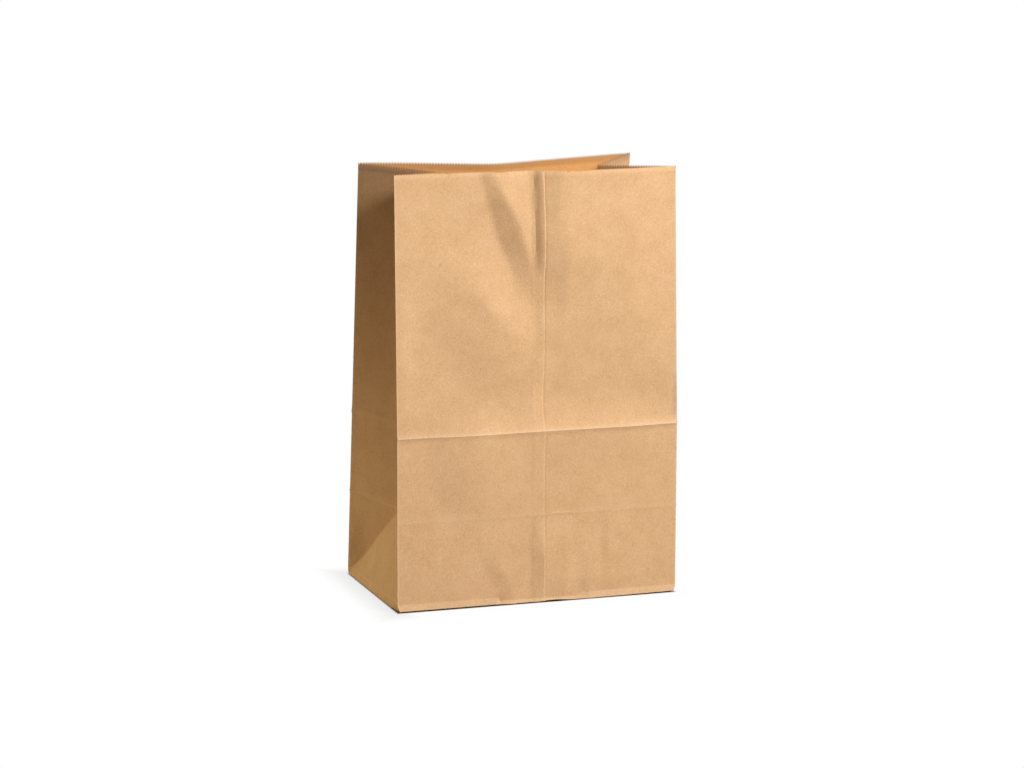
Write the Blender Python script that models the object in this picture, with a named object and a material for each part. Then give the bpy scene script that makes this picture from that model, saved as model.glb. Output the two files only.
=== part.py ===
"""A brown paper bag with a block bottom, standing open.

One sheet of kraft paper is wrapped into a tube with a glued lap seam up the front, creased into
two side gussets, folded shut at the foot into a flat rectangular base, and pinked along its mouth.
The bag stands with its mouth open. Each gusset still folds inwards along its middle crease, and a
45 degree crease runs from each foot corner to the point where that middle crease ends.

Units are metres, +Z is up, and the seam panel faces -Y.
"""
import math

import bmesh
import bpy
from mathutils import Vector

# The sheet
WIDTH = 0.305               # front and back panels
DEPTH = 0.178               # side gussets, opened flat
HEIGHT = 0.448              # from the base to the tips of the teeth, along the sheet
PLY = 0.00018               # thickness of one layer of paper
SEAM_LAP = 0.013            # overlap of the glued seam
SEAM_RAMP = 0.001           # run over which the outer layer climbs onto the inner one
FLAP_LAP = 0.025            # overlap of the two long base flaps

# How the opened sheet stands
FRONT_LEAN = 0.017          # how far the front's top edge comes in
FRONT_LEAN_POWER = 1.8      # the front leans mostly near its top
BACK_LEAN = 0.034           # the back leans evenly from the foot
FRONT_BOW = 0.006           # outward bow of the front at the mouth
BACK_BOW = 0.018            # inward bow of the back at the mouth
CREASE_SLOPE = 0.085        # how steeply the gusset's middle crease runs inwards
CREASE_RIDGE = 0.0006       # how far the crease left by flat packing stands out
RIDGE_REACH = 0.005         # height over which that crease rises and falls

# The foot
HEEL_RISE = 0.008           # height of the rounded turn from wall to base
HEEL_INSET = 0.0035         # how far the base's outline lies inside the walls

# The pinked mouth
TOOTH_PITCH = 0.003
TOOTH_DEPTH = 0.001
TOOTH_BAND = 0.010          # plain strip just below the teeth

# How finely the sheet is divided
GUSSET_CELLS = 8            # across a gusset, an even number
PANEL_CELLS = 10            # across a panel, an even number
UPPER_ROWS = 6              # between the packing crease and the mouth band
HEEL_STEPS = 4

HALF_WIDTH = WIDTH / 2
HALF_DEPTH = DEPTH / 2
PACKING_CREASE = DEPTH      # the base folds up flat against the front to this height
MITRE_LIMIT = 0.6           # keeps the inner side of a sharp fold from shooting past it

PAPER_COLOUR = (0.62, 0.40, 0.22, 1.0)
PAPER_ROUGHNESS = 0.85

# Marks for the faces that get further layers of paper
SEAM_MARK, BACK_FLAP_MARK, FRONT_FLAP_MARK = range(1, 4)


def front_lean(v):
    """Inward distance of the front corner edges at height v along the sheet."""
    return FRONT_LEAN * (v / HEIGHT) ** FRONT_LEAN_POWER


def back_lean(v):
    """Inward distance of the back corner edges at height v along the sheet."""
    return BACK_LEAN * v / HEIGHT


def edge_point(v, back):
    """A point of the right front or right back corner edge, v along the sheet from the foot."""
    lean = back_lean(v) if back else front_lean(v)
    y = HALF_DEPTH - lean if back else lean - HALF_DEPTH
    return Vector((HALF_WIDTH, y, math.sqrt(v * v - lean * lean)))


# Where the gusset's middle crease ends. The 45 degree creases reach this apex from both foot
# corners. It stays half a gusset away from the corner edges, and that fixes how far it tips in.
APEX_LEAN = (front_lean(HALF_DEPTH) + back_lean(HALF_DEPTH)) / 2
APEX_HEIGHT = (HALF_DEPTH ** 2 + (HALF_DEPTH - APEX_LEAN) ** 2) / DEPTH
APEX_INSET = math.sqrt(HALF_DEPTH ** 2 - APEX_HEIGHT ** 2)


def crease_point(v):
    """A point of the right gusset's middle crease, v up the sheet and above the apex.

    It lies half a gusset away from both corner edges, so the paper is folded but never stretched.
    """
    front = edge_point(v, False)
    back = edge_point(v, True)
    middle = (front + back) / 2
    half_gap = (back - front).length / 2
    z = APEX_HEIGHT + (v - HALF_DEPTH) * math.cos(CREASE_SLOPE)
    inset = math.sqrt(HALF_DEPTH ** 2 - half_gap ** 2 - (middle.z - z) ** 2)
    return Vector((HALF_WIDTH - inset, middle.y, z))


def foot_triangle_point(y, v):
    """A point of the triangle that is hinged on the base's right edge and tips in to the apex."""
    up = v / HALF_DEPTH
    return Vector((HALF_WIDTH - APEX_INSET * up, y, APEX_HEIGHT * up))


def gusset_point(s, v):
    """A point of the right gusset, s along it from the front corner edge and v up it."""
    from_edge = min(s, DEPTH - s)
    if from_edge >= v:
        return foot_triangle_point(s - HALF_DEPTH, v)
    edge = edge_point(v, s > HALF_DEPTH)
    if v < HALF_DEPTH:
        # the narrow triangle between a corner edge and the 45 degree crease
        side = 1 if s > HALF_DEPTH else -1
        return edge.lerp(foot_triangle_point(side * (HALF_DEPTH - v), v), from_edge / v)
    return edge.lerp(crease_point(v), from_edge / HALF_DEPTH)


def panel_point(x, v, back):
    """A point of the front or back panel, x across it and v up it, with its bow and its ridge."""
    point = edge_point(v, back)
    point.x = x
    across = math.cos(math.pi * x / WIDTH)
    if back:
        rise = max(0.0, (v - PACKING_CREASE) / (HEIGHT - PACKING_CREASE))
        point.y -= BACK_BOW * across * rise ** 1.5
    else:
        point.y -= FRONT_BOW * across * (v / HEIGHT) ** 2
        if abs(x) < HALF_WIDTH:
            point.y -= CREASE_RIDGE * max(0.0, 1 - abs(v - PACKING_CREASE) / RIDGE_REACH)
    return point


def heel(point):
    """Pull the lowest points in along a quarter ellipse, which rounds the turn into the base."""
    if point.z >= HEEL_RISE:
        return point
    t = 1 - point.z / HEEL_RISE
    inset = HEEL_INSET * (1 - math.sqrt(1 - t * t))
    return Vector((point.x * (1 - inset / HALF_WIDTH), point.y * (1 - inset / HALF_DEPTH), point.z))


def sheet_point(panel, along, v):
    """The point of the standing bag for a place on the sheet."""
    if panel in ("front", "back"):
        return heel(panel_point(along, v, panel == "back"))
    point = gusset_point(along, v)
    if panel == "left":
        point.x = -point.x
    return heel(point)


def sheet_columns():
    """Where the sheet's vertical lines lie, once round the bag: (panel, distance across it)."""
    step = WIDTH / PANEL_CELLS
    across = [step * i - HALF_WIDTH for i in range(PANEL_CELLS)]
    front = sorted([x for x in across if abs(x) > SEAM_LAP] + [-SEAM_LAP / 2, SEAM_LAP / 2])
    side = sorted([DEPTH * i / GUSSET_CELLS for i in range(GUSSET_CELLS)]
                  + [HEEL_RISE, DEPTH - HEEL_RISE])
    return ([("front", x) for x in front] + [("right", s) for s in side]
            + [("back", -x) for x in across] + [("left", DEPTH - s) for s in side])


def sheet_rows():
    """Heights of the sheet's horizontal lines, from the base to the plain strip at the mouth."""
    rows = [HEEL_RISE * (i / HEEL_STEPS) ** 1.5 for i in range(HEEL_STEPS + 1)]
    rows += [DEPTH * i / GUSSET_CELLS for i in range(1, GUSSET_CELLS)]
    rows += [PACKING_CREASE - RIDGE_REACH, PACKING_CREASE, PACKING_CREASE + RIDGE_REACH]
    band = HEIGHT - TOOTH_DEPTH - TOOTH_BAND
    gap = (band - PACKING_CREASE) / UPPER_ROWS
    rows += [PACKING_CREASE + gap * i for i in range(1, UPPER_ROWS + 1)]
    return rows


def add_walls(bm, columns):
    """Skin the four sides up to the plain strip; return the rings of vertices, lowest first.

    In the gussets the cells are square and split along the way their 45 degree crease runs.
    """
    rings = [[bm.verts.new(sheet_point(panel, along, v)) for panel, along in columns]
             for v in sheet_rows()]
    for below, above in zip(rings, rings[1:]):
        for i, (panel, along) in enumerate(columns):
            j = (i + 1) % len(columns)
            corners = (below[i], below[j], above[j], above[i])
            if panel in ("front", "back"):
                bm.faces.new(corners)
                continue
            rising = along < HALF_DEPTH if panel == "right" else along > HALF_DEPTH
            for triple in ((0, 1, 2), (0, 2, 3)) if rising else ((0, 1, 3), (1, 2, 3)):
                bm.faces.new([corners[k] for k in triple])
    return rings


def add_toothed_edge(bm, columns, lower):
    """Close the sheet's top with one strip of faces whose upper edge is cut in small teeth."""
    low = [sheet_point(panel, along, HEIGHT - TOOTH_DEPTH) for panel, along in columns]
    high = [sheet_point(panel, along, HEIGHT) for panel, along in columns]
    starts = [bm.verts.new(point) for point in low]
    for i in range(len(columns)):
        j = (i + 1) % len(columns)
        teeth = max(1, round((low[j] - low[i]).length / TOOTH_PITCH))
        valleys = [starts[i]]
        valleys += [bm.verts.new(low[i].lerp(low[j], k / teeth)) for k in range(1, teeth)]
        valleys.append(starts[j])
        middle = teeth // 2
        bm.faces.new((lower[i], lower[j], valleys[middle]))
        for k in range(teeth):
            tip = bm.verts.new(high[i].lerp(high[j], (k + 0.5) / teeth))
            bm.faces.new((valleys[k], valleys[k + 1], tip))
            bm.faces.new((lower[i] if k < middle else lower[j], valleys[k + 1], valleys[k]))


def add_base(bm, columns, ring):
    """Fill the foot along the outlines of its folded flaps; return the front and back flaps.

    Seen from below, the front flap lies outermost. It laps over the back flap, and the 45 degree
    ends of both leave a triangle of the gusset's paper at each end.
    """
    names = [panel for panel, along in columns]
    turns = [names.index(name) for name in ("front", "right", "back", "left")]
    loop = ring + ring[:1]
    front, right, back, left = [loop[a:b + 1] for a, b in zip(turns, turns[1:] + [len(ring)])]
    half_x = front[-1].co.x
    half_y = back[0].co.y
    lap = FLAP_LAP / 2
    right_to_left = [bm.verts.new(point) for point in (
        (half_x - half_y, 0.0, 0.0), (half_x - half_y - lap, lap, 0.0),
        (half_y + lap - half_x, lap, 0.0), (half_y - half_x, 0.0, 0.0))]
    front_flap = bm.faces.new((front + right_to_left)[::-1])
    back_flap = bm.faces.new((back + right_to_left[::-1])[::-1])
    bm.faces.new((right + right_to_left[:1])[::-1])
    bm.faces.new((left + right_to_left[-1:])[::-1])
    return front_flap, back_flap


def mark(faces, layer, value):
    """Write a number on some faces."""
    for face in faces:
        face[layer] = value


def add_inner_side(bm, inside):
    """Give the sheet its thickness: a copy of every face one layer further in, and a rim."""
    bm.normal_update()
    rim = [edge for edge in bm.edges if edge.is_boundary]
    shift = {}
    for vert in bm.verts:
        slant = min(vert.normal.dot(face.normal) for face in vert.link_faces)
        shift[vert] = vert.normal * (-PLY / max(slant, MITRE_LIMIT))
    made = bmesh.ops.duplicate(bm, geom=bm.verts[:] + bm.edges[:] + bm.faces[:])
    copies = [g for g in made["geom"] if isinstance(g, bmesh.types.BMFace)]
    inner_vert = made["vert_map"]
    for vert, offset in shift.items():
        inner_vert[vert].co += offset
    bmesh.ops.reverse_faces(bm, faces=copies)
    mark(copies, inside, 1)
    for edge in rim:
        loop = edge.link_loops[0]
        first = loop.vert
        second = loop.link_loop_next.vert
        mark([bm.faces.new((second, first, inner_vert[first], inner_vert[second]))], inside, 1)


def add_layer(bm, faces, layer):
    """Lift a group of outer faces by one layer of paper, with a sharp step all round them."""
    made = bmesh.ops.extrude_face_region(bm, geom=faces)["geom"]
    bmesh.ops.delete(bm, geom=faces, context="FACES")
    lifted = {g for g in made if isinstance(g, bmesh.types.BMFace)}
    for vert in [g for g in made if isinstance(g, bmesh.types.BMVert)]:
        normal = sum((f.normal for f in vert.link_faces if f in lifted), Vector())
        vert.co += normal.normalized() * PLY
        mark([f for f in vert.link_faces if f not in lifted], layer, 0)


def build_bag():
    """Model the folded sheet as one closed solid."""
    bm = bmesh.new()
    layer = bm.faces.layers.int.new("layer")
    inside = bm.faces.layers.int.new("inside")
    columns = sheet_columns()
    rings = add_walls(bm, columns)
    add_toothed_edge(bm, columns, rings[-1])
    front_flap, back_flap = add_base(bm, columns, rings[0])
    mark([front_flap], layer, FRONT_FLAP_MARK)
    mark([back_flap], layer, BACK_FLAP_MARK)
    mark([f for f in bm.faces if min(v.co.z for v in f.verts) > 0
          and all(abs(v.co.x) < SEAM_LAP and v.co.y < 0 for v in f.verts)], layer, SEAM_MARK)

    # one layer of paper everywhere, with the same triangles on both of its sides
    bmesh.ops.triangulate(bm, faces=bm.faces[:])
    add_inner_side(bm, inside)

    # further layers on the outside: both base flaps, the front flap over the back one, the seam
    bmesh.ops.translate(bm, verts=bm.verts[:], vec=(0.0, 0.0, 2 * PLY))
    for kinds in ((BACK_FLAP_MARK, FRONT_FLAP_MARK), (FRONT_FLAP_MARK,), (SEAM_MARK,)):
        bm.normal_update()
        faces = [f for f in bm.faces if f[layer] in kinds and not f[inside]]
        left_foot = {v for f in faces for v in f.verts if v.co.x < -0.45 * SEAM_LAP}
        add_layer(bm, faces, layer)
        if SEAM_MARK in kinds:
            # the outer layer climbs onto the inner one along a ramp
            bmesh.ops.translate(bm, verts=list(left_foot), vec=(-SEAM_RAMP, 0.0, 0.0))
    bmesh.ops.triangulate(bm, faces=bm.faces[:])
    return bm


def paper_material():
    """Plain unbleached kraft paper."""
    material = bpy.data.materials.new("kraft_paper")
    material.use_nodes = True
    shader = material.node_tree.nodes["Principled BSDF"]
    shader.inputs["Base Color"].default_value = PAPER_COLOUR
    shader.inputs["Roughness"].default_value = PAPER_ROUGHNESS
    shader.inputs["Metallic"].default_value = 0.0
    return material


def main():
    for ob in list(bpy.data.objects):
        bpy.data.objects.remove(ob, do_unlink=True)
    bm = build_bag()
    mesh = bpy.data.meshes.new("paper_bag")
    bm.to_mesh(mesh)
    bm.free()
    bag = bpy.data.objects.new("paper_bag", mesh)
    bpy.context.collection.objects.link(bag)
    bag.data.materials.append(paper_material())


main()
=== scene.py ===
# %% [markdown]
# # A brown paper bag, from one folded sheet
#
# The bag is a single sheet of kraft paper: wrapped into a tube, glued along a lap seam, creased
# into two side gussets and folded shut at the foot. This lesson builds the standing bag as one
# surface of two parameters: one runs round the sheet and the other, v, runs up it. Paper bends but
# doesn't stretch, so the folds are worked out from lengths on the sheet, not drawn by eye.

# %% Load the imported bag
import math

import bpy
import numpy as np
from mathutils import Matrix, Vector


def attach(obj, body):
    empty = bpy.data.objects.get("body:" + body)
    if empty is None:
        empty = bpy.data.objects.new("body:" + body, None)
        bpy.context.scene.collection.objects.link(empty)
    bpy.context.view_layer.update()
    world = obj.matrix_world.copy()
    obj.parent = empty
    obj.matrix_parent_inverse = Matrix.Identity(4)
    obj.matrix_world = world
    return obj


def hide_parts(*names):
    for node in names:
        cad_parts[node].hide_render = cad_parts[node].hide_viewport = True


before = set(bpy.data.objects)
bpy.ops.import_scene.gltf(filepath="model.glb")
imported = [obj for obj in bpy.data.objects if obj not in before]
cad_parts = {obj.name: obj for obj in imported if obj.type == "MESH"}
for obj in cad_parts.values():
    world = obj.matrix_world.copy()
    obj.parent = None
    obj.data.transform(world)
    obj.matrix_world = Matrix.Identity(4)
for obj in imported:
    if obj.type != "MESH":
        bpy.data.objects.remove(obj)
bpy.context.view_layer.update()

# %% [markdown]
# ## The sheet's sizes
#
# Lengths are in metres, as Blender wants them. The width, depth, height, paper and tooth pitch are
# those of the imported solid. The teeth are cut deeper than the solid's plain ones, and less deep on
# the front, whose knife marks are the smallest.

# %% Sizes of the sheet
WIDTH = 0.305
DEPTH = 0.178
HEIGHT = 0.448
HALF_WIDTH = WIDTH / 2
HALF_DEPTH = DEPTH / 2
PLY = 0.00018
TOOTH_PITCH = 0.003
TOOTH_DEPTH = 0.0026
FRONT_TOOTH_DEPTH = 0.0015
print("once round the bag:", round(2000 * (WIDTH + DEPTH)), "mm")

# %% [markdown]
# ## How the panels lean
#
# An empty bag keeps some of its flat fold: front and back lean towards each other as they rise.
# The front is nearly upright up to the crease that packing left, and leans above it. The back
# leans evenly. Each lean changes a little from left to right, because no bag opens quite squarely.

# %% Corner edges
FRONT_LEAN = 0.018
FRONT_LEAN_ABOVE = 0.038
FRONT_TWIST = 0.007
BACK_LEAN = 0.0335
BACK_TWIST = -0.0040


def front_lean(v, side):
    """Inward distance of the front: 1 in 55 up to the packing crease, then 1 in 18, hinged there."""
    above = np.maximum(v - DEPTH, 0.0)
    return FRONT_LEAN * v + (FRONT_LEAN_ABOVE + FRONT_TWIST * side) * above


def back_lean(v, side):
    """Inward distance of the back panel: proportional to the height, a little more on the left."""
    return (BACK_LEAN + BACK_TWIST * side) * v / HEIGHT


def edge_height(v, lean):
    """Height of a point v along a leaning edge: the other side of a right triangle."""
    return np.sqrt(np.maximum(v * v - lean * lean, 0.0))


print("lean at the mouth, front and back:",
      [round(1000 * float(lean(HEIGHT, 0)), 1) for lean in (front_lean, back_lean)], "mm")

# %% [markdown]
# ## The gusset
#
# A gusset is hinged on both corner edges and creased along its middle. Where the paper is neither
# stretched nor torn, the middle crease stays half a gusset away from both corner edges. Below its
# lower end, the apex, two 45 degree creases run to the foot corners and leave a triangle that is
# hinged on the base. Three formulas, one for each region, give the whole folded side.

# %% Gusset surface
# the middle crease leans inwards by nearly 5 degrees, and this is the cosine of that
CREASE_COSINE = 0.9965


def apex(side):
    """Height and inset of the crease's lower end, where the triangles of paper close up."""
    lean = (front_lean(HALF_DEPTH, side) + back_lean(HALF_DEPTH, side)) / 2
    height = (HALF_DEPTH ** 2 + (HALF_DEPTH - lean) ** 2) / DEPTH
    return height, math.sqrt(HALF_DEPTH ** 2 - height ** 2)


def gusset(side, s, v):
    """Points of a gusset for s across it, front to back, and v up it; side is -1 left or 1 right.

    foot triangle: tilts in linearly with v;  corner triangles: straight lines from the corner edge
    to the 45 degree crease;  above the apex: straight lines from the edge to the middle crease.
    """
    apex_height, apex_inset = apex(side)
    near_back = s > HALF_DEPTH
    from_edge = np.minimum(s, DEPTH - s)
    front_y = front_lean(v, side) - HALF_DEPTH
    back_y = HALF_DEPTH - back_lean(v, side)
    front_z = edge_height(v, front_lean(v, side))
    back_z = edge_height(v, back_lean(v, side))
    edge = np.stack([np.full_like(v, HALF_WIDTH), np.where(near_back, back_y, front_y),
                     np.where(near_back, back_z, front_z)], axis=-1)

    up = np.minimum(v, HALF_DEPTH) / HALF_DEPTH
    foot = np.stack([HALF_WIDTH - apex_inset * up, s - HALF_DEPTH, apex_height * up], axis=-1)
    turn = np.where(near_back, 1.0, -1.0) * (HALF_DEPTH - np.minimum(v, HALF_DEPTH))
    diagonal = np.stack([HALF_WIDTH - apex_inset * up, turn, apex_height * up], axis=-1)

    crease_z = apex_height + (v - HALF_DEPTH) * CREASE_COSINE
    half_gap = np.hypot(back_y - front_y, back_z - front_z) / 2
    drop = (front_z + back_z) / 2 - crease_z
    inset = np.sqrt(np.maximum(HALF_DEPTH ** 2 - half_gap ** 2 - drop ** 2, 0.0))
    crease = np.stack([HALF_WIDTH - inset, (front_y + back_y) / 2, crease_z], axis=-1)

    low = v < HALF_DEPTH
    target = np.where(low[..., None], diagonal, crease)
    reach = np.where(low, np.maximum(v, 1e-6), HALF_DEPTH)
    share = np.clip(from_edge / reach, 0.0, 1.0)[..., None]
    point = edge + (target - edge) * share
    point = np.where((low & (from_edge >= v))[..., None], foot, point)
    point[..., 0] *= side
    return point


for side in (-1, 1):
    print("apex height and inset:", [round(1000 * float(length), 1) for length in apex(side)], "mm")

# %% [markdown]
# ## Height fields for dents and folds
#
# What handling did to the bag is added as height fields: how far the paper stands out at each
# place. They are easiest to read in millimetres. Three simple shapes are enough for most of them:
# an S-curve, a round hill and a straight-sided ridge.

# %% Helpers for height fields
def smooth(t):
    """The S-curve 3t^2 - 2t^3 on t clipped to 0..1."""
    t = np.clip(t, 0.0, 1.0)
    return t * t * (3 - 2 * t)


def bump(t):
    """A round hill: (1 - t^2)^2 inside |t| < 1 and nothing outside."""
    return np.maximum(0.0, 1 - t * t) ** 2


def turned(x, v, centre, turn):
    """Distances from a centre along and across a direction that is turned by some degrees."""
    a = math.radians(turn)
    p = (x - centre[0]) * math.cos(a) + (v - centre[1]) * math.sin(a)
    q = (v - centre[1]) * math.cos(a) - (x - centre[0]) * math.sin(a)
    return p, q


def hill(x, v, centre, left, right, down, up, turn=0.0):
    """A round hill, 1 high at its centre, that ends at its own radius on each of its four sides."""
    p, q = turned(x, v, centre, turn)
    return bump(np.hypot(p / np.where(p < 0, left, right), q / np.where(q < 0, down, up)))


def ridge(distance, below, above):
    """A straight-sided ridge, 1 high where distance is 0, with its own run on each side."""
    return np.maximum(0.0, 1 - np.abs(distance) / np.where(distance < 0, below, above))


print("half way down a hill and a ridge:", float(bump(0.5)), float(ridge(0.5, 1, 1)))

# %% [markdown]
# ## The straight folds of the front
#
# Near its mouth the front has been pushed in beside the seam. The paper answers with straight
# folds: a slanting one on the left, a valley beside the seam, and a bulge on the right. A row of
# short folds runs up from the foot. Each valley or crest is a knot, with a place and a height at a
# few levels of the sheet, and the paper between two knots is straight, as creased paper is.

# %% Knots at the mouth and at the foot, in millimetres
FOLD_LEVELS = (215, 255, 285, 312, 335, 358, 377, 394, 418, 448)
FOLD_KNOTS = (
    ((-152.5,) * 10, (0,) * 10),
    ((-110,) * 10, (0, 0, -0.4, -0.9, -1.5, -2, -2.2, -2.4, -2, -1.4)),
    ((-20, -20, -24, -36, -26, -32, -41, -46, -52, -62),
     (0, -0.6, -2, -4, -4.8, -6.8, -7, -6.6, -3.8, -2.4)),
    ((-8, -8, -8, -8, -8, -9.5, -16, -21, -34, -48),
     (0, -0.6, -1.8, -2.8, -1.8, 0.4, 2.4, 2.6, 2.6, 0)),
    ((-6.5,) * 10, (0, -0.7, -1.9, -2.9, -1.6, 0.2, 1, 0.8, -1.8, -3.6)),
    ((-3.25,) * 10, (0, -0.6, -1.8, -2.7, -1.2, 0.5, 1.4, 1.2, -1.2, -3.2)),
    ((3.25,) * 10, (0, 0, -0.1, -1.2, -0.2, 4.5, 6.2, 6.0, 3.8, 2)),
    ((18, 18, 18, 18, 18, 18, 18, 18, 20, 27), (0, 0, 0.2, 0.2, 2.6, 7.0, 8.6, 8.4, 7.9, 9.0)),
    ((30, 30, 30, 30, 30, 30, 30, 30, 32, 37), (0, 0.2, 0.6, 1.6, 5, 8.8, 9.8, 9.4, 8.5, 9.2)),
    ((100,) * 10, (0, 0, 0.6, 1.8, 3, 4.6, 5.4, 5.8, 6, 5.8)),
    ((152.5,) * 10, (0,) * 10),
)
FOOT_LEVELS = (8, 24, 42, 60, 76, 92)
FOOT_KNOTS = (
    ((-90,) * 6, (0,) * 6),
    ((-46, -49, -58, -69, -72, -76), (0, -0.1, -0.2, -0.1, 0, 0)),
    ((-30, -33, -44, -53, -62, -66), (1.9, 1.8, 1.2, 0.7, 0.2, 0)),
    ((-10, -10, -7, -12, -6.5, -5), (0.8, 0.4, 0.2, 0, -0.2, 0)),
    ((4.8, 4.8, 5.5, 3.25, -2, 0), (2.6, 3.0, 3.2, 2.8, 0.9, 0)),
    ((9,) * 6, (2.4, 2.8, 3.0, 2.5, 0.9, 0)),
    ((26,) * 6, (3.8, 4.2, 2.6, 1.9, 0.6, 0)),
    ((29.5,) * 6, (3.8, 4.3, 2.9, 2.4, 0.9, 0)),
    ((44,) * 6, (2.4, 2.9, 1.8, 1.5, 0.5, 0)),
    ((54,) * 6, (3.6, 4.0, 2.4, 1.2, 0.3, 0)),
    ((70,) * 6, (2.4, 2.8, 1.4, 0.4, 0, 0)),
    ((77,) * 6, (2.5, 3.0, 2.2, 1.4, 0.6, 0)),
    ((120,) * 6, (1.2, 1.2, 0.8, 0.2, 0, 0)),
    ((150,) * 6, (0,) * 6),
)


def folded(x, v, levels, knots):
    """Outward height of a set of folds, in millimetres: straight from knot to knot at each level."""
    places = [np.interp(v, levels, knot[0]) for knot in knots]
    heights = [np.interp(v, levels, knot[1]) for knot in knots]
    h = np.zeros_like(x)
    for x0, x1, h0, h1 in zip(places, places[1:], heights, heights[1:]):
        share = (x - x0) / (x1 - x0)
        h = np.where((share >= 0) & (share <= 1), h0 + (h1 - h0) * share, h)
    return h


for title, knots in (("mouth", FOLD_KNOTS), ("foot", FOOT_KNOTS)):
    heights = [height for knot in knots for height in knot[1]]
    print(title, "folds:", len(knots), "knots, from", min(heights), "to", max(heights), "mm")

# %% [markdown]
# ## The packing creases and the hollow above them
#
# While the bag lay flat in its pack, the folded base pressed a crease across the sheet, as high up
# as the bag is deep, and a fainter one half way. The front juts out at the packing crease and is
# hollow above it. Such a profile is easiest to steer by its slopes, so its height is their sum.

# %% Profile up the front
CREASE_LEVEL = 180.3
HALF_CREASE_LEVEL = 93.0
SLOPE_LEVELS = (125, 180.3, 180.4, 187, 203, 215, 228, 254, 280, 305, 448)
SLOPES = (0, 0.09, -0.38, -0.30, -0.12, 0.00, 0.07, 0.11, 0.07, 0.00, -0.01)
PROFILE_STEP = 0.5


def crease_profile(v):
    """Outward height up the middle of the front, in millimetres: the running sum of its slopes."""
    level = np.arange(0.0, 450.0, PROFILE_STEP)
    height = np.cumsum(np.interp(level, SLOPE_LEVELS, SLOPES)) * PROFILE_STEP
    return np.interp(v, level, height)


print("profile at the crease and in the hollow:",
      [round(float(crease_profile(v)), 1) for v in (CREASE_LEVEL, 215)], "mm")

# %% [markdown]
# ## The creases across the front
#
# A pressed crease stays as a low ridge. On the front it isn't even: the packing crease stands
# higher on the right, and the half crease shows best just right of the seam.

# %% Creases of the front
CREASE_RUNS = (3.4, 7.0)
HALF_CREASE_RUNS = (2.0, 2.6)


def crease_height(x):
    """Height of the packing crease's ridge: 1.2 mm, and up to 0.5 mm more on the right."""
    return 1.2 + 0.5 * smooth((x - 20) / 80)


def half_crease_height(x):
    """Height of the fainter crease's ridge: higher right of the seam, most of all close to it."""
    return 0.26 + 0.16 * smooth((x + 20) / 40) + 0.2 * bump((x - 20) / 55)


def profile_share(x):
    """How much of the crease's profile shows: it grows from the left and ends at the right edge."""
    return smooth((x + 140) / 170) * smooth((152.5 - x) / 55)


print("the packing crease at both edges:", [float(crease_height(x)) for x in (-152.5, 152.5)], "mm")

# %% [markdown]
# ## The lap seam
#
# The tube is closed by gluing one edge of the sheet over the other. The outer layer's edge is a
# sharp step with a fine groove along it, and on its other side the lap rises gently. Below the
# packing crease the lap was pressed flatter, and above the crease the paper sinks in beside it.

# %% Lap seam
SEAM_EDGE = 6.5
SEAM_STEP = 1.2
SEAM_PLY = 0.30
SEAM_GROOVE = 0.42
SEAM_PRESSED = 0.6
SEAM_HOLLOW = 1.3


def seam_relief(x, v):
    """The lap seam: a layer's step up to its outer edge, and a groove along that edge.

    Above the packing crease it has its full height, and below it the pressed share of that.
    """
    share = SEAM_PRESSED + (1 - SEAM_PRESSED) * smooth((v - 180) / 20)
    step = SEAM_PLY * smooth((x + SEAM_EDGE + 1) / 1.5) * (x < SEAM_EDGE)
    return share * (step - SEAM_GROOVE * ridge(x - SEAM_EDGE, SEAM_STEP, SEAM_STEP))


def seam_hollow(x, v):
    """A hollow around 208 mm up: it begins at the seam's left edge and goes on to the right."""
    return SEAM_HOLLOW * smooth((x + 9) / 16) * bump((v - 208) / 36)


print("the lap stands out", round(float(seam_relief(0.0, 300.0)), 2), "mm")

# %% [markdown]
# ## The front's dents
#
# A few broad hills and two slanted ridges are left. A table keeps each to one line, and a negative
# height makes a hollow. The kinks are where the folds at the foot cross the heel.

# %% Relief of the front
# height, centre, reach to the left, right, down and up, turn in degrees
FRONT_HILLS = (
    (6.0, (-48, 296), 74, 48, 110, 80, 30),
    (-2.4, (-124, 276), 27, 90, 110, 90, 0),
    (4.0, (-72, 160), 55, 60, 75, 60, 0),
)
# height, centre, half length, run below and above
SLANTED_RIDGES = ((1.2, (-55, 310), 62, 16, 18), (0.7, (98, 67), 34, 12, 8))
SLANTED_TURN = -40
# place and depth
HEEL_KINKS = ((-42, 1.5), (50, 1.2))


def front_relief(x, v):
    """How far the front stands out at x, v, in metres: the sum of all its height fields."""
    x, v = x * 1000, v * 1000
    h = folded(x, v, FOLD_LEVELS, FOLD_KNOTS) + folded(x, v, FOOT_LEVELS, FOOT_KNOTS)
    h = h + crease_profile(v) * profile_share(x)
    for height, *placed in FRONT_HILLS:
        h = h + height * hill(x, v, *placed)
    for height, centre, half_length, below, above in SLANTED_RIDGES:
        along, across = turned(x, v, centre, SLANTED_TURN)
        h = h + height * ridge(across, below, above) * bump(along / half_length)
    h = h - seam_hollow(x, v)
    h = h + crease_height(x) * ridge(v - CREASE_LEVEL, *CREASE_RUNS)
    h = h + half_crease_height(x) * ridge(v - HALF_CREASE_LEVEL, *HALF_CREASE_RUNS)
    h = h + seam_relief(x, v)
    for place, depth in HEEL_KINKS:
        h = h - depth * ridge(x - place, 3.0, 3.0) * ridge(v - 4, 5, 7)
    return h / 1000


sample_x, sample_v = np.meshgrid(np.linspace(-0.15, 0.15, 101), np.linspace(0, HEIGHT, 150))
sample = 1000 * front_relief(sample_x, sample_v)
print("the front's relief runs from", round(sample.min(), 1), "to", round(sample.max(), 1), "mm")

# %% [markdown]
# ## The back and the sides
#
# The photo hides the back, so it stays plain: two faint creases and three broad, low forms. The
# sides have the creases too, and a swelling or a hollow where the photo shows a change of shade.

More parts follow.
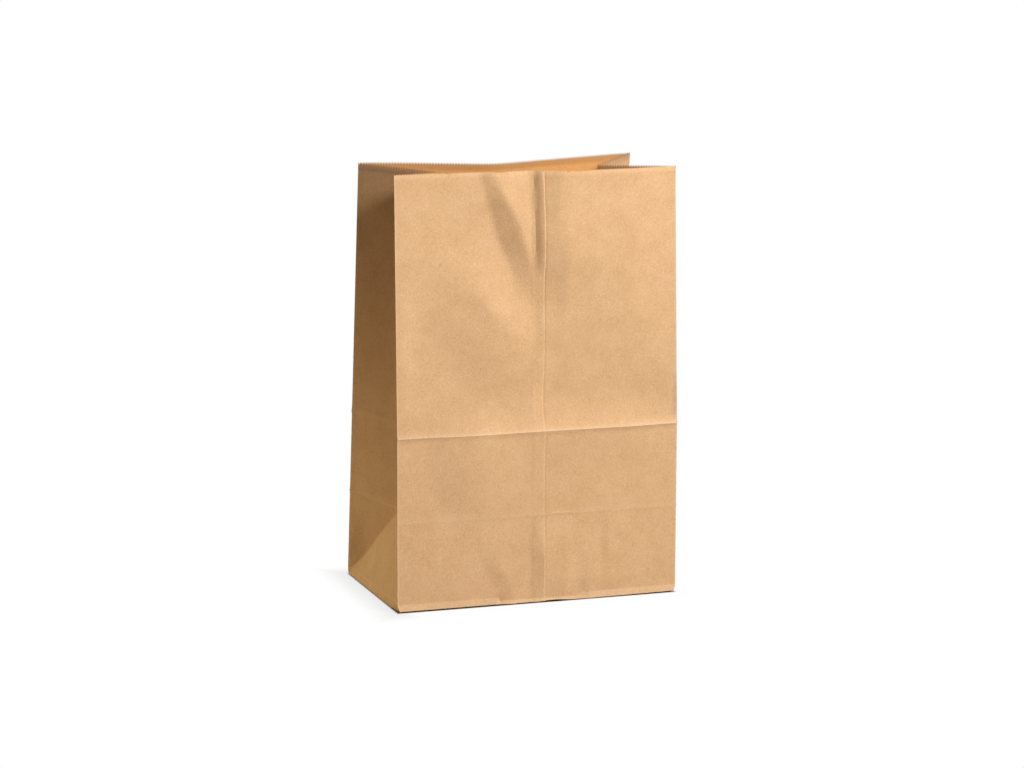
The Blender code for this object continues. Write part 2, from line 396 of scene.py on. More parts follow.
# %% Relief of the back and the sides
BACK_HILLS = (
    (-2.5, (-50, 250), 80, 90, 60, 90, 12),
    (2.0, (60, 330), 70, 60, 90, 80, -15),
    (1.2, (20, 90), 90, 80, 70, 70, 0),
)


def back_relief(x, v):
    """The same for the back panel: its two faint creases, one broad hollow and two swellings."""
    x, v = x * 1000, v * 1000
    h = 0.45 * ridge(v - CREASE_LEVEL, 1.5, 4.0) + 0.15 * ridge(v - HALF_CREASE_LEVEL, 1.5, 3.0)
    for height, *placed in BACK_HILLS:
        h = h + height * hill(x, v, *placed)
    return h / 1000


def side_relief(side, s, v):
    """How far a gusset stands out, in metres: creases, and a swelling right or two hollows left."""
    s, v = s * 1000, v * 1000
    h = 0.6 * ridge(v - CREASE_LEVEL, 1.5, 5.0) + 0.5 * ridge(v - HALF_CREASE_LEVEL, 1.5, 4.0)
    h = h + side * 1.0 * hill(s, v, (130, 250), 45, 40, 60, 70)
    h = h - (side < 0) * 2.6 * hill(s, v, (147, 30), 40, 30, 30, 50)
    return h / 1000


sample = 1000 * back_relief(sample_x, sample_v)
print("the back's relief runs from", round(sample.min(), 1), "to", round(sample.max(), 1), "mm")

# %% [markdown]
# ## The panels
#
# A panel is a leaning plane with its relief on top. The back also bows inwards above the packing
# crease: two straight halves that meet in a soft bend, as a sheet does when its corners are pulled
# towards each other.

# %% Panel surface
BACK_BOW = 24.5
BACK_BEND = -10.0
BEND_REACH = (118.0, 150.0)
BEND_SOFTNESS = 0.11
END_SOFTNESS = 0.06
BOW_POWER = 1.5
BOW_SINKING = 1.2


def back_bow(x):
    """Inward bow of the back at the mouth, in millimetres: two straight halves and a soft bend."""
    x = x * 1000 - BACK_BEND
    share = np.abs(x) / np.where(x < 0, *BEND_REACH)
    rounded = BEND_SOFTNESS - np.sqrt(share ** 2 + BEND_SOFTNESS ** 2)
    return BACK_BOW * END_SOFTNESS * np.logaddexp(0, (1 + rounded) / END_SOFTNESS)


def panel(back, x, v):
    """Points of the front or back panel for x across it and v up it: a leaning, bowed plane."""
    side = x / HALF_WIDTH
    lean = back_lean(v, side) if back else front_lean(v, side)
    if back:
        rise = np.clip((v - DEPTH) / (HEIGHT - DEPTH), 0.0, 1.0)
        ends = np.array([-HALF_WIDTH, HALF_WIDTH])
        bow = (back_bow(x) - np.interp(x, ends, back_bow(ends))) / 1000 * rise ** BOW_POWER
        z = edge_height(v, lean + BOW_SINKING * bow)
        y = HALF_DEPTH - lean - bow + back_relief(x, v)
    else:
        z = edge_height(v, lean)
        y = lean - HALF_DEPTH - front_relief(x, v)
    return np.stack([x, y, z], axis=-1)


print("bow of the back at its bend:", round(float(back_bow(np.array(BACK_BEND / 1000))), 1), "mm")

# %% [markdown]
# ## Once round the bag
#
# The sheet's columns lie one tooth apart, so that each column cell carries one tooth at the mouth.
# Beside the two edges of the seam's lap they stand closer, and each extra column there is the
# bottom of a notch itself. Up to the apex the rows lie as far apart as the gusset's columns, so
# that the 45 degree creases run along the diagonals of square cells.

# %% Rows and columns
SIDE_CELLS = 2 * round(HALF_DEPTH / TOOTH_PITCH)
BACK_CELLS = round(WIDTH / TOOTH_PITCH)
FACE_CELLS = round((HALF_WIDTH - SEAM_EDGE / 1000) / TOOTH_PITCH)
LAP_CELLS = round(2 * SEAM_EDGE / 1000 / TOOTH_PITCH)
ROWS_BETWEEN = 24
ROWS_ABOVE = 72
cell = DEPTH / SIDE_CELLS
half_crease_rows = (HALF_CREASE_LEVEL + np.array([-2.0, 0.0, 2.6])) / 1000
crease_rows = (CREASE_LEVEL + np.array([-0.7, 0.0, 0.8, 3.4, 6.4])) / 1000
between_rows = np.linspace(0.0990, 0.1769, ROWS_BETWEEN)
upper_rows = np.linspace(0.1893, HEIGHT - 2.5 * TOOTH_DEPTH, ROWS_ABOVE)
rows = np.concatenate([np.arange(SIDE_CELLS // 2) * cell, [HALF_DEPTH], half_crease_rows,
                       between_rows, crease_rows, upper_rows, [HEIGHT]])
plain_x = np.concatenate([
    np.linspace(-HALF_WIDTH * 1000, -SEAM_EDGE, FACE_CELLS + 1),
    np.linspace(-SEAM_EDGE, SEAM_EDGE, LAP_CELLS + 1)[1:],
    np.linspace(SEAM_EDGE, HALF_WIDTH * 1000, FACE_CELLS + 1)[1:]])
seam_x = [edge + step for edge in (-SEAM_EDGE, SEAM_EDGE) for step in (-SEAM_STEP, SEAM_STEP)]
face_x = np.sort(np.concatenate([plain_x, seam_x]))[:-1] / 1000
split_column = np.isin((face_x * 1000).round(4), np.round(seam_x, 4))
back_x = np.linspace(HALF_WIDTH, -HALF_WIDTH, BACK_CELLS + 1)[:-1]
side_s = np.arange(SIDE_CELLS) * cell
RIGHT_START = len(face_x)
BACK_START = RIGHT_START + SIDE_CELLS
LEFT_START = BACK_START + BACK_CELLS
ring_count = LEFT_START + SIDE_CELLS
print("sheet grid:", len(rows), "rows of", ring_count, "cells")

# %% [markdown]
# ## The heel
#
# Where a wall turns under the base, the paper is folded twice: a strip about 8 mm high leans in,
# and below it comes the tight fold. At the front the strip flares outwards instead and its lower
# edge is lifted a little off the table. The strip is lower in the middle of the front, where it
# has been pushed in.

# %% Heel of the walls
HEEL_RISE = 0.008
HEEL_INSET = 0.0030
HEEL_FOLD = 0.0009
HEEL_FLARE = 0.0014
HEEL_LIFT = 0.0010
HEEL_LIFT_RIGHT = 0.0014
HEEL_ROWS = np.array([0, 0.0004, 0.0009, 0.002, 0.0033, 0.0044, 0.0052, 0.0064, 0.0076, 0.0084])
STRIP_SHARE = 0.75
STRIP_POWER = 1.15
FOLD_SHARE = 0.45
FRONT_STARTS = 0.06
PUSHED_FROM = -0.044
PUSHED_TO = 0.047
PUSHED_SHARE = 0.4


def heel_rise(x):
    """Height of the heel strip's upper edge on the front: lower where the middle is pushed in."""
    pushed = smooth((x - PUSHED_FROM) / 0.003) * smooth((PUSHED_TO - x) / 0.003)
    return HEEL_RISE * (1 - PUSHED_SHARE * pushed)


def heel(p):
    """Turn the wall towards the base: points below the strip's top move in, or out at the front.

    strip: grows downwards as a power of the depth below its top, a little over 1;  tight fold: as
    the square;  lift: at the front only, linear, and more a little right of the seam.
    """
    x, y, z = p[..., 0], p[..., 1], p[..., 2]
    top = np.where(y < -FRONT_STARTS, heel_rise(x), HEEL_RISE)
    t = np.clip(1 - z / top, 0.0, 1.0)
    fold = np.clip(1 - z / HEEL_FOLD, 0.0, 1.0)
    strip = STRIP_SHARE * HEEL_INSET * t ** STRIP_POWER
    tight = FOLD_SHARE * HEEL_INSET * fold ** 2
    front = smooth((-y - FRONT_STARTS) / 0.02)
    inward = strip * (1 - front) - HEEL_FLARE * t * front
    out = p.copy()
    out[..., 0] *= 1 - (strip * front + tight) / HALF_WIDTH
    out[..., 1] *= 1 - (inward + tight) / HALF_DEPTH
    lift = HEEL_LIFT + HEEL_LIFT_RIGHT * bump((x - 0.018) / 0.024)
    out[..., 2] += lift * t * smooth((-y - 0.075) / 0.01)
    return out


print("heel strip at a corner and in the middle:",
      [round(1000 * float(heel_rise(x)), 1) for x in (-HALF_WIDTH, 0.0)], "mm")

# %% [markdown]
# ## Points of the sheet
#
# One call gives the points for any set of heights: front, right gusset, back and left gusset in
# one ring, each with its relief, and the heel turned in at the end.

# %% Rings of points
def ring_points(v):
    """Points of the whole sheet for an array of heights v: shape (heights, cells round, 3)."""
    fx, fv = np.broadcast_arrays(face_x[None, :], v[:, None])
    bx, bv = np.broadcast_arrays(back_x[None, :], v[:, None])
    ss, sv = np.broadcast_arrays(side_s[None, :], v[:, None])
    right, left = gusset(1, ss, sv), gusset(-1, DEPTH - ss, sv)
    right[..., 0] += side_relief(1, ss, sv)
    left[..., 0] -= side_relief(-1, DEPTH - ss, sv)
    points = np.concatenate([panel(False, fx, fv), right, panel(True, bx, bv), left], axis=1)
    return heel(points)


foot_points = ring_points(np.array([0.0]))[0]
print("the foot's outline:", (1000 * np.ptp(foot_points, axis=0)[:2]).round(1), "mm")

# %% [markdown]
# ## The cut mouth, the wear and the painted light
#
# Kraft paper turns pale where it has been creased, because its fibres break and scatter the light.
# The same pale mark also paints light: a highlight band above the packing crease, highlight lines
# along the corner edges, the heel strip's upper edge and the seam's edge, and light thrown up from
# the table on the heel strip. The teeth of the mouth get painted shade, darkest at their tips. Both
# are stored as one number for each point, which the material reads later.

# %% Rim, wear and painted light
NICKS = ((30.3, 1.0, 1.8), (-94.6, 1.4, 0.9))
LOW_STRETCHES = ((42, 15, 0.9), (-40, 11, 0.8))


def rim_drop(x):
    """Faults of the cut edge of the front, in metres: two nicks and two low stretches."""
    x = x * 1000
    nicks = sum(depth * (np.abs(x - place) < reach) for place, reach, depth in NICKS)
    low = sum(depth * bump((x - place) / reach) for place, reach, depth in LOW_STRETCHES)
    return (nicks + low) / 1000


def wear_and_highlight_of(v, along):
    """How pale each point is, from 0 to 1, for wear and painted highlight: the most that one of these
    gives it.

    In their order: corner edges, worn and with a painted highlight line; middle creases of the
    gussets; packing crease, with a painted highlight band above it; half crease; 45 degree creases;
    upper edge of the heel strip, a painted highlight line; the strip itself, painted light from the
    table; rim; edge of the seam, a painted highlight line.
    """
    level, place = v[:, None] * 1000, along[None, :]
    face = (place < RIGHT_START) | ((place > BACK_START) & (place < LEFT_START))
    middles = (RIGHT_START + SIDE_CELLS // 2, LEFT_START + SIDE_CELLS // 2)
    start = np.where(place >= LEFT_START, LEFT_START, RIGHT_START)
    across = np.clip(place - start, 0, SIDE_CELLS) * cell * 1000
    from_corner = np.minimum(across, DEPTH * 1000 - across)
    strip_top = np.full(len(along), HEEL_RISE * 1000)
    strip_top[:RIGHT_START] = heel_rise(face_x) * 1000
    seam_column = np.flatnonzero(np.isclose(face_x * 1000, SEAM_EDGE))
    parts = [
        # corner edges: wear with a painted highlight line
        0.9 * np.isin(place, (0, RIGHT_START, BACK_START, LEFT_START)),
        0.5 * np.isin(place, middles) * (level > HALF_DEPTH * 1000),
        # packing crease: wear, and a painted highlight band that reaches 5.2 mm above it
        ridge(level - CREASE_LEVEL, 0.6, 5.2) * np.where(face, 1.0, 0.75),
        ridge(level - HALF_CREASE_LEVEL, 0.8, 3.5) * np.where(face, 0.55, 0.6),
        0.35 * (np.abs(from_corner - level) < 1.0) * ~face,
        # painted highlight line along the upper edge of the heel strip
        ridge(level - strip_top[None, :], 1.4, 1.0),
        # painted light: the heel strip made pale as if lit from the table
        0.6 * (level < strip_top[None, :]) * face,
        0.6 * smooth((level - HEIGHT * 1000 + 3) / 2),
        # painted highlight line along the outer edge of the seam
        0.35 * np.isin(place, seam_column)]
    return np.max(np.stack([np.broadcast_to(p, (len(v), len(along))) for p in parts]), axis=0)


print("deepest fault of the front's rim:", round(1000 * rim_drop(face_x).max(), 2), "mm")

# %% [markdown]
# ## From grid to mesh
#
# Each grid cell becomes two triangles. In the gussets the split follows the way of the 45 degree
# crease. In the top row a cell becomes three triangles, which leave the V between two teeth. At
# the foot one ring of quads levels the lifted edge, and one flat face closes the bag.

# %% Faces of the sheet
def wall_faces(index, whole):
    """Two triangles for each cell, split on its rising or falling diagonal; teeth are left out."""
    a, d = index[:-1], index[1:]
    b, c = np.roll(a, -1, axis=1), np.roll(d, -1, axis=1)
    along = np.arange(index.shape[1])
    half = SIDE_CELLS // 2
    falling = ((along >= RIGHT_START + half) & (along < BACK_START)) | (along >= LEFT_START + half)
    rising = np.broadcast_to(~falling, a.shape)[..., None]
    first = np.where(rising, np.stack([a, b, c], -1), np.stack([a, b, d], -1))
    second = np.where(rising, np.stack([a, c, d], -1), np.stack([b, c, d], -1))
    return [first[:-1].reshape(-1, 3), second[:-1].reshape(-1, 3), first[-1][~whole], second[-1][~whole]]


def tooth_faces(index, whole, notch):
    """Three triangles round the notch of each whole cell of the top row."""
    low_left, high_left = index[-2][whole], index[-1][whole]
    low_right, high_right = np.roll(index[-2], -1)[whole], np.roll(index[-1], -1)[whole]
    return [np.stack([low_left, low_right, notch], -1), np.stack([low_right, high_right, notch], -1),
            np.stack([low_left, notch, high_left], -1)]


split = np.concatenate([split_column, np.zeros(ring_count - RIGHT_START, bool)])
whole = ~(split | np.roll(split, -1))
print("teeth with a notch of their own:", int(whole.sum()))

# %% [markdown]
# ## The whole sheet
#
# The points come in three groups: the rings, the bottoms of the notches, and a ring inside the
# foot. The faces point to them by number, and two more numbers go with each point: its wear with
# painted highlights, and how much painted shade it gets at the teeth of the mouth.

# %% Points and faces of the sheet
FLOOR_RING = 0.012


def bag_mesh():
    """The sheet's points and faces, and for each point its wear with painted highlights and its painted
    shade at the teeth.
    """
    v = np.concatenate([HEEL_ROWS, rows[rows > HEEL_ROWS[-1] + 1e-6]])
    points = ring_points(v)
    along = np.arange(ring_count)
    on_front = along < RIGHT_START
    points[-1, :RIGHT_START, 2] -= rim_drop(face_x)
    points[-1, :, 2] -= split * FRONT_TOOTH_DEPTH

    top = points[-1]
    notches = ((top + np.roll(top, -1, axis=0)) / 2)[whole]
    notches[:, 2] -= np.where(on_front[whole], FRONT_TOOTH_DEPTH, TOOTH_DEPTH)
    inner = points[0] * (1 - FLOOR_RING / HALF_DEPTH)
    inner[:, 2] = 0.0
    verts = np.concatenate([points.reshape(-1, 3), notches, inner])

    index = np.arange(len(v) * ring_count).reshape(len(v), ring_count)
    notch = index.size + np.arange(len(notches))
    inner_ring = notch[-1] + 1 + along
    foot = index[0]
    floor = np.stack([np.roll(foot, -1), foot, inner_ring, np.roll(inner_ring, -1)], -1)
    groups = [*wall_faces(index, whole), *tooth_faces(index, whole, notch), floor, inner_ring[None, ::-1]]
    faces = [face for group in groups for face in group.tolist()]

    wear_and_highlight = np.concatenate([wear_and_highlight_of(v, along).ravel(), np.full(len(notches), 0.3), np.zeros(ring_count)])
    teeth_shade = np.zeros(len(verts))
    # painted shade at the teeth: most on the tips of the back and sides, less below them and on the front
    teeth_shade[index[-2]] = np.where(on_front, 0.0, 0.3)
    teeth_shade[index[-1]] = np.where(on_front, 0.15, 1.0)
    teeth_shade[notch] = np.where(on_front[whole], 0.0, 0.5)
    return verts, faces, wear_and_highlight, teeth_shade


verts, faces, wear_and_highlight, teeth_shade = bag_mesh()
# the count takes in the painted highlights as well as the wear
print("well worn points:", int((wear_and_highlight > 0.5).sum()), "of", len(verts))

# %% [markdown]
# ## One layer of paper
#
# The outer side of the sheet is the mesh itself. A Solidify modifier adds the inner side one layer
# further in and gives it the second material, the inside paper. The sheet stands two layers above
# the table, because the two flaps of the base lie under it.

# %% Sheet piece
FOLD_ANGLE = math.radians(28.0)


def mesh_object(name, verts, faces):
    """Make an object from vertex and face arrays, shaded smooth except across sharp folds."""
    mesh = bpy.data.meshes.new(name)
    mesh.from_pydata(np.asarray(verts).tolist(), [], [list(map(int, f)) for f in faces])
    mesh.validate()
    mesh.shade_smooth()
    mesh.set_sharp_from_angle(angle=FOLD_ANGLE)
    ob = bpy.data.objects.new(name, mesh)
    bpy.context.collection.objects.link(ob)
    print(name, len(mesh.vertices), "vertices", len(mesh.polygons), "faces")
    return ob


verts[:, 2] += 2 * PLY
bag = mesh_object("paper_bag_sheet", verts, faces)
# the first layer holds wear with painted highlights, the second painted shade at the teeth
for name, values in (("crease_wear", wear_and_highlight), ("cut_edge", teeth_shade)):
    bag.data.attributes.new(name, "FLOAT", "POINT").data.foreach_set("value", values.astype(np.float32))
thick = bag.modifiers.new("one layer of paper", "SOLIDIFY")
thick.thickness = PLY
thick.offset = -1.0
thick.material_offset = 1

# %% [markdown]
# ## The folded base
#
# Seen from below, the base is two long flaps with 45 degree ends. The back flap is folded first
# and the front flap is glued over it, which leaves one layer's step along its edge.

# %% Base flaps
FLAP_LAP = 0.025
FLAP_GAP = 0.0004
FLAP_THICKNESS = 0.9 * PLY


def plate(outline, bottom):
    """A thin plate: an outline of points on two levels, closed by a wall."""
    n = len(outline)
    verts = [(x, y, z) for z in (bottom, bottom + FLAP_THICKNESS) for x, y in outline]
    walls = [(i, (i + 1) % n, n + (i + 1) % n, n + i) for i in range(n)]
    return verts, [tuple(range(n))[::-1], tuple(range(n, 2 * n))] + walls


def base_flaps():
    """The two flaps as plates; the front one lies a layer lower, and both lap past the middle."""
    x, y = HALF_WIDTH - HEEL_INSET - FLAP_GAP, HALF_DEPTH - HEEL_INSET - FLAP_GAP
    lap = FLAP_LAP / 2
    front = [(-x, -y), (x, -y), (x - y - lap, lap), (lap + y - x, lap)]
    back = [(x, y), (-x, y), (lap + y - x, -lap), (x - y - lap, -lap)]
    verts, faces = plate(front, 0.0)
    more_verts, more_faces = plate(back, PLY)
    return verts + more_verts, faces + [tuple(i + len(verts) for i in f) for f in more_faces]


flaps = mesh_object("paper_bag_base_flaps", *base_flaps())

# %% [markdown]
# ## Shader maths in Python
#
# A material is a tree of nodes, and its maths is long-winded when each sum is a node made by hand.
# A small class helps: a Socket can be added, subtracted and multiplied like a number, and each
# sign adds one Math node.

# %% Socket arithmetic
class Socket:
    """A shader socket that takes part in Python arithmetic by adding Math nodes."""

    def __init__(self, tree, link):
        self.tree, self.link = tree, link

    def _math(self, operation, a, b):
        return self.tree.node("ShaderNodeMath", {"operation": operation}, {0: a, 1: b})

    def __add__(self, other):
        return self._math("ADD", self, other)

    def __radd__(self, other):
        return self._math("ADD", other, self)

    def __sub__(self, other):
        return self._math("SUBTRACT", self, other)

    def __rsub__(self, other):
        return self._math("SUBTRACT", other, self)

    def __mul__(self, other):
        return self._math("MULTIPLY", self, other)

    def __rmul__(self, other):
        return self._math("MULTIPLY", other, self)


# %% [markdown]
# ## Any other node
#
# A Tree has one method that adds any node from its type, its settings and its inputs. Three short
# methods on top of it name what the materials below do most.

# %% Tree of nodes
class Tree:
    """The node tree of a material or world."""

    def __init__(self, owner):
        owner.use_nodes = True
        self.tree = owner.node_tree
        self.nodes = self.tree.nodes

    def node(self, kind, settings=None, inputs=None, output=0):
        """Add a node: its settings first, then the values or links of its sockets."""
        made = self.nodes.new(kind)
        for key, value in (settings or {}).items():
            if key == "stops":
                ramp = made.color_ramp
                while len(ramp.elements) < len(value):
                    ramp.elements.new(0.5)
                for element, (position, colour) in zip(ramp.elements, value):
                    element.position, element.color = position, colour
            else:
                setattr(made, key, value)
        for key, value in (inputs or {}).items():
            self.feed(made.inputs[key], value)
        return Socket(self, made.outputs[output])

    def feed(self, slot, value):
        """Give a node's input a link or a value."""
        if isinstance(value, Socket):
            self.tree.links.new(value.link, slot)
        else:
            slot.default_value = value

    def most(self, a, b):
        """The larger of two values."""
        return self.node("ShaderNodeMath", {"operation": "MAXIMUM"}, {0: a, 1: b})

    def fade(self, value, start, end, at_start, at_end, kind="LINEAR"):
        """Run from one value at the start to another at the end, and stay there outside."""
        return self.node("ShaderNodeMapRange", {"interpolation_type": kind},
                         {0: value, 1: start, 2: end, 3: at_start, 4: at_end})

    def mix_colour(self, factor, a, b):
        """Mix two colours by a factor; a Mix node's colour sockets are 6, 7 and, going out, 2."""
        return self.node("ShaderNodeMix", {"data_type": "RGBA"}, {0: factor, 6: a, 7: b}, 2)


# %% [markdown]
# ## The kraft paper
#
# Unbleached kraft is a warm tan, cloudy on the scale of centimetres, with short fibres that lie
# mostly up the sheet and a few dark flecks of bark. The shader builds these from noises on object
# coordinates, so they stay in place on the paper. The inside has warmer tones, as behind the
# mouth in the photo.

# %% Tones and noises
OUTSIDE = ((0.58, 0.337, 0.162), (0.66, 0.402, 0.208), (0.74, 0.466, 0.259))
INSIDE = ((0.70, 0.34, 0.114), (0.77, 0.387, 0.135), (0.83, 0.433, 0.158))
TONE_STOPS = (0.2, 0.5, 0.8)
# pale colour of wear, also used as painted highlight
WORN_AND_HIGHLIGHT = (0.80, 0.57, 0.37, 1.0)
BARK = (0.36, 0.20, 0.10, 1.0)
# dark colour of painted shade on the teeth of the mouth
TEETH_SHADE = (0.20, 0.10, 0.045, 1.0)
# each noise: scale, detail, roughness
CLOUD = (40.0, 5.0, 0.72)
MOTTLE = (700.0, 2.0, 0.6)
FIBRE = (1500.0, 2.0, 0.6)
FLECK = (330.0, 1.0, 0.55)
WRINKLE = (26.0, 2.0, 0.55)
FIBRE_STRETCH = (1.0, 1.0, 0.3)
# how far each noise moves the tone
CLOUD_SHARE = 0.68
MOTTLE_SHARE = 0.8
FIBRE_SHARE = 0.85
# how strongly the pale colour of wear and painted highlight, the painted shade of the teeth and the bark
# colour mix in
WORN_AND_HIGHLIGHT_SHARE = 0.75
TEETH_SHADE_SHARE = 0.85
BARK_SHARE = 0.45
print("middle tones, outside and inside:", OUTSIDE[1], INSIDE[1])

# %% [markdown]
# ## One recipe for both sides
#
# The outside and the inside are the same paper in different tones. Wear and painted highlights mix
# in the pale tone, painted shade at the teeth and the flecks mix in dark ones, and the noises also
# raise a very fine relief.

# %% Kraft paper
def kraft_material(name, tones):
    """Kraft paper: three tones mixed by cloud, mottle and fibre noises, pale wear and painted highlights,
    painted shade at the teeth and dark flecks.
    """
    material = bpy.data.materials.new(name)
    tree = Tree(material)
    shader = tree.nodes["Principled BSDF"].inputs
    place = tree.node("ShaderNodeTexCoord", output="Object")
    upright = tree.node("ShaderNodeMapping", {}, {"Vector": place, "Scale": FIBRE_STRETCH})

    def noise(vector, kind):
        scale, detail, roughness = kind
        return tree.node("ShaderNodeTexNoise", {}, {
            "Vector": vector, "Scale": scale, "Detail": detail, "Roughness": roughness})

    def attribute(layer):
        return tree.node("ShaderNodeAttribute", {"attribute_name": layer}, {}, "Fac")

    cloud = noise(place, CLOUD)
    mottle = noise(place, MOTTLE)
    fibre = noise(upright, FIBRE)
    tone = (cloud - 0.5) * CLOUD_SHARE + (mottle - 0.5) * MOTTLE_SHARE + (fibre - 0.5) * FIBRE_SHARE + 0.5
    stops = [(stop, (*colour, 1)) for stop, colour in zip(TONE_STOPS, tones)]
    colour = tree.node("ShaderNodeValToRGB", {"stops": stops}, {0: tone})
    wear_and_highlight = attribute("crease_wear")
    worn_and_highlit = wear_and_highlight * wear_and_highlight * (0.25 + mottle)
    # the pale colour paints highlights as well as wear
    colour = tree.mix_colour(worn_and_highlit * WORN_AND_HIGHLIGHT_SHARE, colour, WORN_AND_HIGHLIGHT)
    # painted shade darkens the teeth of the mouth
    colour = tree.mix_colour(attribute("cut_edge") * TEETH_SHADE_SHARE, colour, TEETH_SHADE)
    fleck = tree.fade(noise(upright, FLECK), 0.76, 0.84, 0.0, BARK_SHARE)
    colour = tree.mix_colour(fleck, colour, BARK)
    tree.feed(shader["Base Color"], colour)
    tree.feed(shader["Roughness"], 0.8 + mottle * 0.12)
    tree.feed(shader["Specular IOR Level"], 0.1)
    height = noise(place, WRINKLE) * 0.6 + mottle * 0.16 + fibre * 0.08
    bumped = tree.node("ShaderNodeBump", {}, {"Strength": 0.6, "Distance": 0.0012, "Height": height})
    tree.feed(shader["Normal"], bumped)
    print(name, "has", len(tree.nodes), "nodes")
    return material


outside = kraft_material("kraft_paper_outside", OUTSIDE)
inside = kraft_material("kraft_paper_inside", INSIDE)
bag.data.materials.append(outside)
bag.data.materials.append(inside)
flaps.data.materials.append(outside)

# %% [markdown]
# ## The pieces take the solid's place
#
# Both pieces ride on the bag's only body and stand for its one node, the folded sheet.

# %% Pieces and node
for piece in (bag, flaps):
    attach(piece, "root")
    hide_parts("paper_bag")
    print(piece.name, "stands for the node paper_bag")

# %% [markdown]
# ## Floor
#
# The background is plain white. A white floor under a bright lamp would throw light back up at the
# bag, so this one is darker and only shows white to the camera. Under the foot the real, shaded
# floor shows, and round the foot, mostly on the left, it shows a little and fades outwards.

# %% What the camera sees of the floor
SHADOW_SHARE = 0.20
SHADOW_REACH = 0.036
FOOT_MARGIN = 0.001
FOOT_FADE = 0.003
LEFT_FADE = (-0.150, -0.130)
RIGHT_SHARE = 0.08


def background_rays(tree):
    """1 on the rays that show the background: from the camera, or by gloss or glass."""
    camera, glossy, glass = [tree.node("ShaderNodeLightPath", output=name) for name in
                             ("Is Camera Ray", "Is Glossy Ray", "Is Transmission Ray")]
    return tree.most(tree.most(camera, glossy), glass)


def shadow_share(tree):
    """How much of the real, shaded floor shows: all of it under the foot, some of it on the left."""
    place = tree.node("ShaderNodeTexCoord", output="Object")
    x, y = [tree.node("ShaderNodeSeparateXYZ", {}, {0: place}, axis) for axis in ("X", "Y")]
    far_x, far_y = [tree.node("ShaderNodeMath", {"operation": "ABSOLUTE"}, {0: part}) for part in (x, y)]
    beyond = tree.most(far_x - (HALF_WIDTH - FOOT_MARGIN), far_y - (HALF_DEPTH - FOOT_MARGIN))
    under = tree.fade(beyond, 0.0, FOOT_FADE, 1.0, 0.0)
    near = tree.fade(beyond, 0.0, SHADOW_REACH, SHADOW_SHARE, 0.0, "SMOOTHSTEP")
    left = tree.fade(x, *LEFT_FADE, 1.0, RIGHT_SHARE, "SMOOTHSTEP")
    return tree.most(near * left, under)


print("the shadow fades out", 1000 * SHADOW_REACH, "mm from the foot")

# %% [markdown]
# ## The floor piece
#
# It is one square, and no part of the bag.

# %% Floor
FLOOR_COLOUR = (0.26, 0.245, 0.215, 1.0)
FLOOR_REACH = 6.0
WHITE = (1, 1, 1, 1)


def floor_object():
    """A square floor: its own shaded material, mixed with a white glow on the camera's rays."""
    corners = [(-1, -1), (1, -1), (1, 1), (-1, 1)]
    mesh = bpy.data.meshes.new("floor")
    mesh.from_pydata([(FLOOR_REACH * x, FLOOR_REACH * y, 0) for x, y in corners], [], [(0, 1, 2, 3)])
    ob = bpy.data.objects.new("floor", mesh)
    bpy.context.collection.objects.link(ob)
    material = bpy.data.materials.new("floor_white")
    tree = Tree(material)
    shader = tree.nodes["Principled BSDF"]
    tree.feed(shader.inputs["Base Color"], FLOOR_COLOUR)
    tree.feed(shader.inputs["Roughness"], 0.9)
    glow = tree.node("ShaderNodeEmission", {}, {"Color": WHITE, "Strength": 1.0})
    mixed = tree.node("ShaderNodeMixShader", {}, {
        0: background_rays(tree) * (1 - shadow_share(tree)), 1: Socket(tree, shader.outputs[0]), 2: glow})
    tree.feed(tree.nodes["Material Output"].inputs["Surface"], mixed)
    mesh.materials.append(material)
    print("floor:", 2 * FLOOR_REACH, "m square")
    return ob


floor_object()

# %% [markdown]
# ## Light
#
# The key lamp stands at the front right and points past the bag, so that only the soft edge of its
# beam falls on the front. A low fill and a small warm lamp light the left side, as light thrown
# back by a table would. One lamp behind and one above are for other views: they light the back
# panel and the inside. The sky is nearly black to the bag and white to the camera.

# %% Lamps and sky
# name, place, what it points at, diameter, watts, colour
LAMPS = (
    ("key", (1.03, -1.79, 1.46), (-1.90, -1.09, -0.50), 0.55, 86.5, (1.0, 1.0, 1.0)),
    ("fill", (-0.95, 0.95, 0.20), (-0.73, 0.59, -0.71), 0.4, 15, (1.0, 0.93, 0.60)),
    ("warm bounce", (-0.55, -0.10, 0.13), (-0.15, -0.02, 0.13), 0.15, 0.2, (1.0, 0.66, 0.34)),
    ("back", (-0.3, 2.7, 1.3), (0, 0, 0.22), 1.2, 12, (1.0, 1.0, 1.0)),
    ("top", (0, 0, 2.2), (0, 0, 0), 0.5, 9, (1.0, 1.0, 1.0)),
)
SKY_LIGHT = 0.008


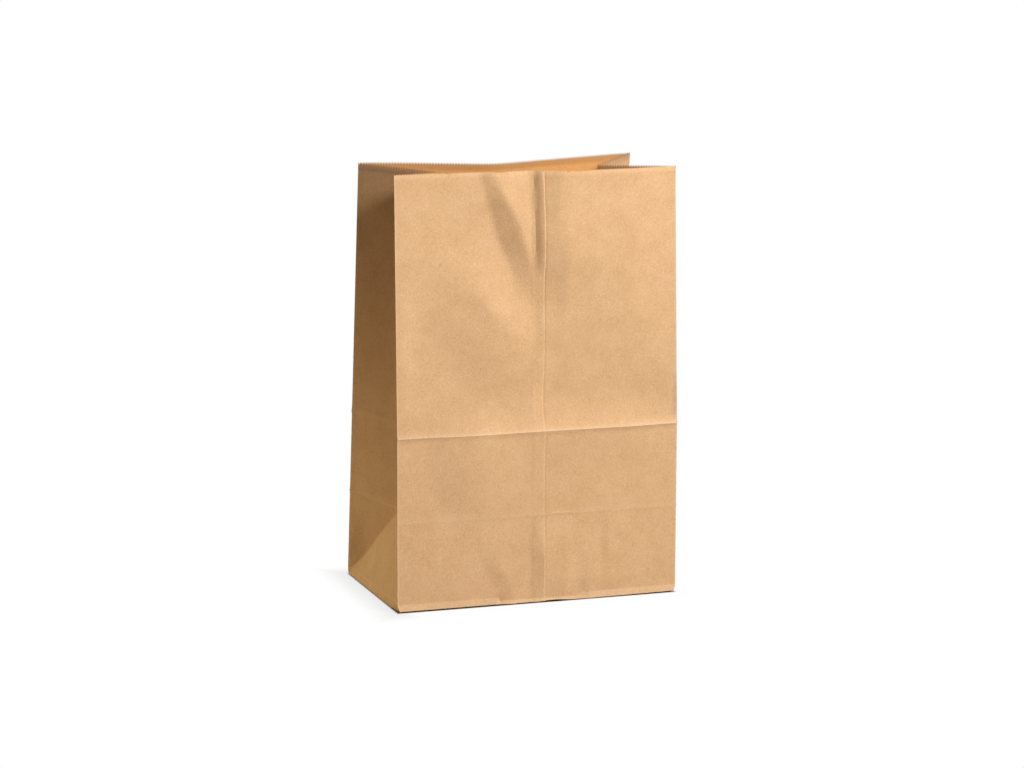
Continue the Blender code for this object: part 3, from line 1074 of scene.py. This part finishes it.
def area_light(name, place, target, size, power, colour):
    """A round lamp that points at its target."""
    data = bpy.data.lights.new(name, "AREA")
    data.shape = "DISK"
    data.size = size
    data.energy = power
    data.color = colour
    ob = bpy.data.objects.new(name, data)
    bpy.context.collection.objects.link(ob)
    ob.location = place
    ob.rotation_euler = (Vector(target) - Vector(place)).to_track_quat("-Z", "Y").to_euler()
    print(name, "lamp of", power, "W")


for lamp in LAMPS:
    area_light(*lamp)
world = bpy.data.worlds.new("studio")
bpy.context.scene.world = world
sky = Tree(world)
background = sky.nodes["Background"].inputs
sky.feed(background["Color"], WHITE)
sky.feed(background["Strength"], background_rays(sky) * (1 - SKY_LIGHT) + SKY_LIGHT)

# %% [markdown]
# ## Camera
#
# The camera was fitted to the photo's corners of the bag. It stands more than three metres away,
# to the left of the front and a little above, and its long lens keeps the upright edges almost
# parallel.

# %% Camera
AZIMUTH = math.radians(19.53)
ELEVATION = math.radians(10.63)
ROLL = math.radians(0.55)
DISTANCE = 3.379
FOCAL_PIXELS = 3224.0
PICTURE_PIXELS = 1024
SENSOR_WIDTH = 36.0
TARGET = Vector((0.0003, 0.0, 0.2142))


def add_camera():
    """Stand DISTANCE from the target, turned left of the front by the azimuth and raised."""
    back = Vector((-math.sin(AZIMUTH) * math.cos(ELEVATION), -math.cos(AZIMUTH) * math.cos(ELEVATION),
                   math.sin(ELEVATION)))
    level = Vector((math.cos(AZIMUTH), -math.sin(AZIMUTH), 0.0))
    upright = back.cross(level)
    right = level * math.cos(ROLL) + upright * math.sin(ROLL)
    up = upright * math.cos(ROLL) - level * math.sin(ROLL)
    data = bpy.data.cameras.new("camera")
    data.sensor_width = SENSOR_WIDTH
    data.lens = FOCAL_PIXELS * SENSOR_WIDTH / PICTURE_PIXELS
    data.clip_end = 50
    ob = bpy.data.objects.new("camera", data)
    bpy.context.collection.objects.link(ob)
    turn = Matrix((right, up, back)).transposed().to_4x4()
    ob.matrix_world = Matrix.Translation(TARGET + back * DISTANCE) @ turn
    bpy.context.scene.camera = ob
    print("lens:", round(data.lens, 1), "mm")


add_camera()

# %% [markdown]
# ## Finish
#
# The plain Standard view shows each colour as it was written.

# %% Finish
scene = bpy.context.scene
scene.view_settings.view_transform = "Standard"
